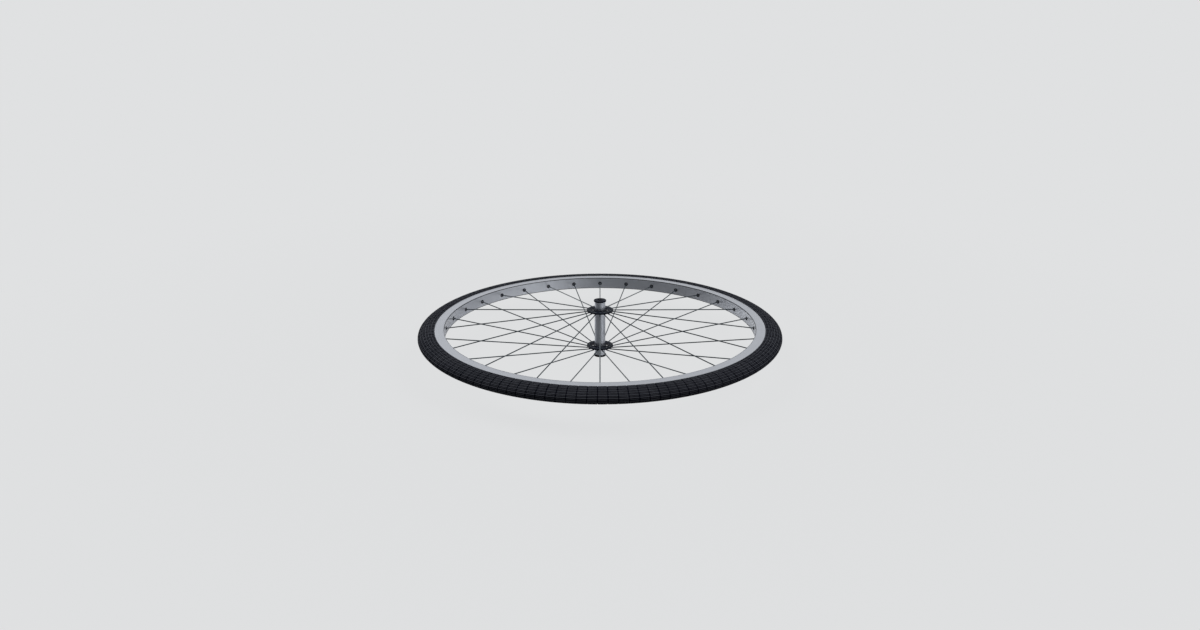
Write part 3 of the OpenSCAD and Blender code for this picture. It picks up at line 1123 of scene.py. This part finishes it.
@dataclass
class Hub:
    """The hub: barrel, two windowed flanges and two end caps."""

    half_len: float
    barrel_r: float
    barrel_half: float
    flange_r: float
    flange_z: float
    flange_t: float
    cap_r: float
    spokes: int = 32
    windows: int = 8
    bore_r: float = 5.0
    seat_r: float = 9.0
    seat_z: float = 48.0
    hollow_r: float = 8.0
    window_low: float = 12.2
    window_high: float = 14.8
    window_deg: float = 33.75
    hole_circle_r: float = 21.5
    hole_r: float = 1.2
    edge_round: float = 0.35
    cap_t: float = 2.8
    spigot_r: float = 7.0
    spigot_z: float = 52.0

    def build_barrel(self) -> None:
        """Turn the barrel, with relieved ends and a fine line beside each flange."""
        r, end = self.barrel_r, self.barrel_half
        by_flange = self.flange_z - self.flange_t / 2
        outline = [
            (self.hollow_r, 0.0), (self.hollow_r, self.seat_z), (self.seat_r, self.seat_z),
            (self.seat_r, end - 0.3), (self.seat_r + 0.3, end), *rounded((r, end), (1, 0), (0, -1), 0.4),
            (r, by_flange), (r - 0.15, by_flange - 0.1), (r - 0.15, by_flange - 0.7), (r, by_flange - 0.8),
            (r, 0.0),
        ]
        full = outline[:-1] + [(radius, -z) for radius, z in reversed(outline[1:-1])]
        barrel = turned("hub_barrel_shell", lathe(full), 96)
        polish(barrel, 32.0)
        fit(barrel, "hub_barrel", BARREL_METAL)

    def flange_sheet(self, name: str) -> Piece:
        """Spin a flat web with windows between the collar and the spoke holes.

        Args:
            name: the piece's name.

        Returns:
            The flat sheet, at height 0.
        """
        radii = (self.barrel_r, self.window_low, self.window_high,
                 (self.window_high + self.hole_circle_r) / 2, self.hole_circle_r,
                 (self.hole_circle_r + self.flange_r) / 2, self.flange_r)
        start = -math.pi / self.windows
        sheet = draw(name, lathe([(r, 0.0) for r in radii], start), closed=False)
        spin(FULL_TURN / self.windows, 16)

        def in_window(centre: Vector, _: Vector) -> bool:
            """Whether a face lies in the window."""
            away = abs(math.degrees(math.atan2(centre.y, centre.x)))
            return away < self.window_deg / 2 and self.window_low < centre.length / MM < self.window_high

        choose(sheet, in_window)
        bpy.ops.mesh.delete(type="FACE")
        ring_round(sheet, self.windows)
        face_outward()
        return sheet

    def hole_drill(self, side: Side) -> Piece:
        """A tool that cuts and countersinks one flange's spoke holes.

        Args:
            side: the flange.

        Returns:
            The closed shapes to cut out.
        """
        half, r, flare = self.flange_t / 2, self.hole_r, 0.35
        outline = [(0.0, -half - 0.5), (r + flare + 0.5, -half - 0.5), (r, -half + flare),
                   (r, half - flare), (r + flare + 0.5, half + 0.5), (0.0, half + 0.5)]
        z = side.value * self.flange_z
        corners = [Vector((self.hole_circle_r + rho, 0, z + height)) * MM for rho, height in outline]
        tool = turned("flange_drill", corners, 20, Axis.Z,
                      Vector((self.hole_circle_r, 0, 0)) * MM, closed=False)
        ring_round(tool, self.spokes // 2)
        turn = FULL_TURN / self.spokes if side is Side.BOTTOM else 0.0
        settle(tool, turn=(0.0, 0.0, turn))
        return tool

    def build_flange(self, side: Side) -> None:
        """Thicken the web, round its edges and drill it.

        Args:
            side: which flange.
        """
        node = f"flange_{side.name.lower()}"
        flange = self.flange_sheet(f"{node}_plate")
        modify(flange, "SOLIDIFY", thickness=self.flange_t * MM, offset=0.0)
        modify(flange, "BEVEL", width=self.edge_round * MM, segments=2, limit_method="ANGLE",
               angle_limit=math.radians(40))
        settle(flange, move=Vector((0, 0, side.value * self.flange_z)) * MM)
        cut(flange, self.hole_drill(side))
        polish(flange, 32.0)
        fit(flange, node, HUB_BLACK)

    def build_cap(self, side: Side) -> None:
        """Turn an end cap with a rounded rim and a fine ring in its face.

        Args:
            side: which cap.
        """
        face, back = self.half_len, self.half_len - self.cap_t
        spigot, foot = self.spigot_r, self.spigot_z
        outline = [
            (self.bore_r, face - 0.8), (spigot - 1, face - 0.8), (spigot - 1, foot), (spigot, foot),
            (spigot, back),
            *rounded((self.cap_r, back), (1, 0), (0, 1), 0.3),
            *rounded((self.cap_r, face), (0, 1), (-1, 0), 0.5),
            (9.2, face), (9.05, face - 0.2), (8.6, face - 0.2), (8.45, face),
            *rounded((self.bore_r, face), (-1, 0), (0, -1), 0.4),
        ]
        node = f"end_cap_{side.name.lower()}"
        cap = turned(f"{node}_turned", lathe([(r, side.value * z) for r, z in outline]), 96)
        polish(cap, 32.0)
        fit(cap, node, HUB_BLACK, body="axle")

    def build(self) -> None:
        """Model and dress every piece of the hub that shows."""
        self.build_barrel()
        for side in Side:
            self.build_flange(side)
            self.build_cap(side)


# ---- valve


@dataclass
class Valve:
    """The tyre's valve: a threaded stem, a lock ring and a ribbed dust cap."""

    seat_r: float
    angle: float
    stem_d: float = 6.0
    out: float = 20.0
    thread: float = 0.8
    ring_r: float = 5.7
    ring_t: float = 3.1
    cap_len: float = 11.0

    @property
    def turn(self) -> Triple:
        """The turn that takes a piece modelled along +X to the valve's place."""
        return 0.0, 0.0, self.angle

    def build_stem(self) -> None:
        """Turn the stem with its thread and the foot that is bonded to the tube."""
        r = self.stem_d / 2
        tip = self.seat_r - self.out + 1
        foot = self.seat_r + 10.35
        outline: list[Point] = [(tip, 0.0), (tip, r - 0.6), (tip + 0.4, r - 0.25)]
        place = tip + 0.4
        while place < foot - 2:
            outline += [(place + self.thread / 2, r), (place + self.thread, r - 0.25)]
            place += self.thread
        outline += [(foot - 0.6, r), (foot, r), (foot, 3.8), (foot + 1.0, 3.4), (foot + 1.0, 0.0)]
        stem = turned("valve_stem_threaded", spindle(outline), 32, Axis.X, closed=False)
        settle(stem, self.turn)
        polish(stem)
        fit(stem, "valve_stem", VALVE_BRASS)

    def build_ring(self) -> None:
        """Turn the lock ring and knurl its edge."""
        seat, bore, edge = self.seat_r - 0.1, self.stem_d / 2 + 0.02, self.ring_r
        face = self.seat_r - self.ring_t - 0.2
        outline = [
            (seat, bore), (seat, edge - 0.3), (seat - 0.3, edge), (face + 0.3, edge),
            (face, edge - 0.3), (face, bore),
        ]
        ring = turned("valve_ring_knurled", spindle(outline), 36, Axis.X)

        def on_edge(centre: Vector, normal: Vector) -> bool:
            """Whether a face is on the ring's edge."""
            return abs(normal.x) < 0.1 and math.hypot(centre.y, centre.z) / MM > edge - 0.2

        choose(ring, on_edge)
        bpy.ops.mesh.inset(thickness=0.16 * MM, depth=0.25 * MM, use_individual=True)
        settle(ring, self.turn)
        polish(ring, weighted=False)
        fit(ring, "valve_lock_ring", RING_METAL)

    def build_cap(self) -> None:
        """Turn the dust cap and raise its grip ribs."""
        tip = self.seat_r - self.out
        end = tip + self.cap_len
        outline = [
            (tip, 0.0), (tip, 2.2), (tip + 0.35, 2.8), (tip + 2.2, 3.3), (end - 0.6, 3.5),
            (end, 3.45), (end, 3.2), (tip + 0.9, 2.4), (tip + 0.9, 0.0),
        ]
        cap = turned("valve_cap_ribbed", spindle(outline), 32, Axis.X, closed=False)

        def on_grip(centre: Vector, _: Vector) -> bool:
            """Whether a face is on every second strip of the grip."""
            strip = math.floor(math.atan2(centre.z, centre.y) / FULL_TURN * 32)
            outer = math.hypot(centre.y, centre.z) / MM > 3.36
            return outer and strip % 2 == 0 and tip + 2.5 < centre.x / MM < end - 0.8

        choose(cap, on_grip)
        bpy.ops.mesh.inset(thickness=0.08 * MM, depth=0.22 * MM, use_individual=True)
        settle(cap, self.turn)
        polish(cap, weighted=False)
        fit(cap, "valve_cap", CAP_PLASTIC)

    def build(self) -> None:
        """Model and dress the valve."""
        self.build_stem()
        self.build_ring()
        self.build_cap()


# ---- inside


@dataclass
class Inside:
    """The pieces that are hidden, or seen only down the axle's bore."""

    finishes: dict[str, Finish] = field(default_factory=lambda: {
        "inner_tube": TUBE_RUBBER,
        "rim_tape": TAPE_CLOTH,
        "hub_axle": AXLE_METAL,
        "inner_race": BEARING_STEEL,
        "outer_race": BEARING_STEEL,
        "bearing_balls": BEARING_STEEL,
        "ball_cage": CAGE_BRASS,
        "bearing_seals": SEAL_RUBBER,
    })

    def dress(self, nodes: dict[str, Piece]) -> None:
        """Dress every plain node that stays.

        Args:
            nodes: the frame's nodes by name.
        """
        for name, node in nodes.items():
            kind = name.removesuffix("_top").removesuffix("_bottom")
            if kind in self.finishes:
                dress(node, self.finishes[kind])
                LOG.info("%s: kept and dressed", name)


# ---- studio


@dataclass(frozen=True)
class Lamp:
    """A square soft lamp that isn't mirrored in the wheel, placed by its bearing and rise from it."""

    name: str
    bearing_deg: float
    rise_deg: float
    away: float
    size: float
    level: float

    def place(self) -> Vector:
        """Where the lamp hangs.

        Returns:
            Its place, in metres: bearing 0 is towards the camera, 90 towards +X.
        """
        bearing, rise = math.radians(self.bearing_deg), math.radians(self.rise_deg)
        flat = math.cos(rise)
        return self.away * Vector((flat * math.sin(bearing), -flat * math.cos(bearing), math.sin(rise)))

    def hang(self) -> None:
        """Hang the lamp and point it at the wheel."""
        place = self.place()
        put_down()
        bpy.ops.object.light_add(type="AREA", location=place)
        lamp = bpy.context.object
        lamp.name = self.name
        lamp.data.shape = "SQUARE"
        lamp.data.size = self.size
        lamp.data.energy = (math.pi * self.away) ** 2 * self.level
        lamp.visible_glossy = False
        lamp.rotation_euler = (-place).to_track_quat("-Z", "Y").to_euler()


@dataclass
class Studio:
    """A plain pale floor, soft lamps and the camera."""

    floor_z: float
    pale: Triple = (0.745, 0.753, 0.760)
    paper: Triple = (0.30, 0.303, 0.306)
    ambient: float = 0.16
    satin: float = 0.25
    sheen: float = 0.95
    overhead: float = 0.4
    round_levels: tuple[tuple[float, float], ...] = (
        (-180, 0.93), (-156, 1.35), (-130, 1.75), (-104, 0.8), (-76, 0.4), (-20, 0.36), (5, 0.5),
        (32, 1.4), (55, 1.75), (80, 1.35), (112, 1.12), (148, 1.22), (180, 0.93),
    )
    overhead_from: float = 0.5
    overhead_over: float = 0.35
    shadow_share: float = 0.05
    floor_w: float = 400.0
    fade_from: float = 600.0
    fade_over: float = 900.0
    lens: float = 28.11
    sensor_w: float = 36.0
    camera_place: Triple = (0.0, -1.716, 0.6125)
    camera_pitch_deg: float = 71.136
    lamps: tuple[Lamp, ...] = (
        Lamp("lamp_left", -112.0, 50.0, 5.0, 3.0, 0.42),
        Lamp("lamp_right", 80.0, 50.0, 5.0, 3.0, 0.42),
    )

    def floor(self) -> None:
        """Lay the floor: pale to the eye with a faint shadow, satin to mirrors, plain paper as light."""
        put_down()
        bpy.ops.mesh.primitive_plane_add(size=self.floor_w, location=(0, 0, self.floor_z))
        floor = name_new("floor")
        recipe = Recipe("floor_paper")
        eye, mirror = recipe.rays()
        far = recipe.clamp((recipe.place()[3] - self.fade_from) / self.fade_over)
        seen = recipe.blend(eye, self.paper, self.pale)
        diffuse = recipe.node("ShaderNodeBsdfDiffuse", inputs={"Color": seen})
        sheen = recipe.node("ShaderNodeBsdfGlossy", inputs={
            "Color": (self.sheen, self.sheen, self.sheen, 1), "Roughness": self.satin})
        glow = recipe.node("ShaderNodeEmission", inputs={"Color": (*self.pale, 1), "Strength": 1.0})
        bare = recipe.node("ShaderNodeMixShader", inputs={
            0: mirror, 1: diffuse.outputs[0], 2: sheen.outputs[0]})
        mixed = recipe.node("ShaderNodeMixShader", inputs={
            0: eye * (1 - (1 - far) * self.shadow_share), 1: bare.outputs[0], 2: glow.outputs[0]})
        recipe.node("ShaderNodeOutputMaterial", inputs={"Surface": mixed.outputs[0]})
        floor.data.materials.append(recipe.material)
        floor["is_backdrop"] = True

    def sky(self) -> None:
        """Set the surroundings: pale to the eye, a ring of levels to mirrors, dim as light."""
        world = bpy.data.worlds.new("studio")
        world.use_nodes = True
        bpy.context.scene.world = world
        recipe = Recipe("studio", world.node_tree)
        eye, mirror = recipe.rays()
        toward = recipe.node("ShaderNodeTexCoord").outputs["Generated"]
        split = recipe.node("ShaderNodeSeparateXYZ", inputs={0: toward})
        x, y, z = (Wire(recipe, split.outputs[i]) for i in range(3))
        turn = recipe.maths("ARCTAN2", x, y * -1) / FULL_TURN + 0.5
        stops = [(bearing / 360 + 0.5, (level / 2,) * 3) for bearing, level in self.round_levels]
        ramp = recipe.node("ShaderNodeValToRGB", {"stops": stops}, {0: turn})
        level = Wire(recipe, ramp.outputs[0]) * 2
        high = recipe.clamp((recipe.maths("ABSOLUTE", z) - self.overhead_from) / self.overhead_over)
        shown = level + (self.overhead - level) * high
        strength = eye + mirror * shown + recipe.clamp(1 - eye - mirror) * self.ambient
        background = recipe.node("ShaderNodeBackground", inputs={
            "Color": (*self.pale, 1), "Strength": strength})
        recipe.node("ShaderNodeOutputWorld", inputs={"Surface": background.outputs[0]})

    def camera(self) -> None:
        """Set up the camera."""
        put_down()
        bpy.ops.object.camera_add(location=self.camera_place,
                                  rotation=(math.radians(self.camera_pitch_deg), 0, 0))
        camera = bpy.context.object
        camera.name = "studio_camera"
        camera.data.lens = self.lens
        camera.data.sensor_width = self.sensor_w
        bpy.context.scene.camera = camera

    def build(self) -> None:
        """Set up everything that isn't part of the object."""
        self.floor()
        self.sky()
        for lamp in self.lamps:
            lamp.hang()
        self.camera()
        bpy.context.scene.view_settings.view_transform = "Standard"


# ---- main


def main(frame: dict[str, object]) -> None:
    """Build every sub-assembly round the frame.
    """
    tyre_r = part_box("tyre")[1].x / MM
    rim_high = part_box("rim")[1] / MM
    drill_z = (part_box("rim_eyelets")[0].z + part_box("rim_eyelets")[1].z) / 2 / MM
    rim_r = rim_high.x
    cap_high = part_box("end_cap_top")[1] / MM
    barrel_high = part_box("hub_barrel")[1] / MM
    flange_low, flange_high = (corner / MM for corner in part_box("flange_top"))
    flange_z = (flange_low.z + flange_high.z) / 2
    flange_t = flange_high.z - flange_low.z
    valve_low, valve_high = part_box("valve_lock_ring")
    valve_mid = (valve_low + valve_high) / 2

    Studio(floor_z=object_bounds()[0][2]).build()
    Tyre(crown_r=tyre_r, rim_r=rim_r, rim_half_w=rim_high.z).build()
    rim = Rim(outer_r=rim_r, half_w=rim_high.z, drill_z=drill_z)
    rim.build()
    Spokes(inner_r=rim.inner_r, drill_z=drill_z, flange_z=flange_z, flange_t=flange_t).build()
    Hub(half_len=cap_high.z, barrel_r=barrel_high.x, barrel_half=barrel_high.z, flange_r=flange_high.x,
        flange_z=flange_z, flange_t=flange_t, cap_r=cap_high.x).build()
    Valve(seat_r=rim.inner_r, angle=math.atan2(valve_mid.y, valve_mid.x)).build()
    Inside().dress(frame["nodes"])
    put_down()


if __name__ == "__main__":
    logging.basicConfig(level=logging.INFO, format="%(message)s")
    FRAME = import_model()
    main(FRAME)
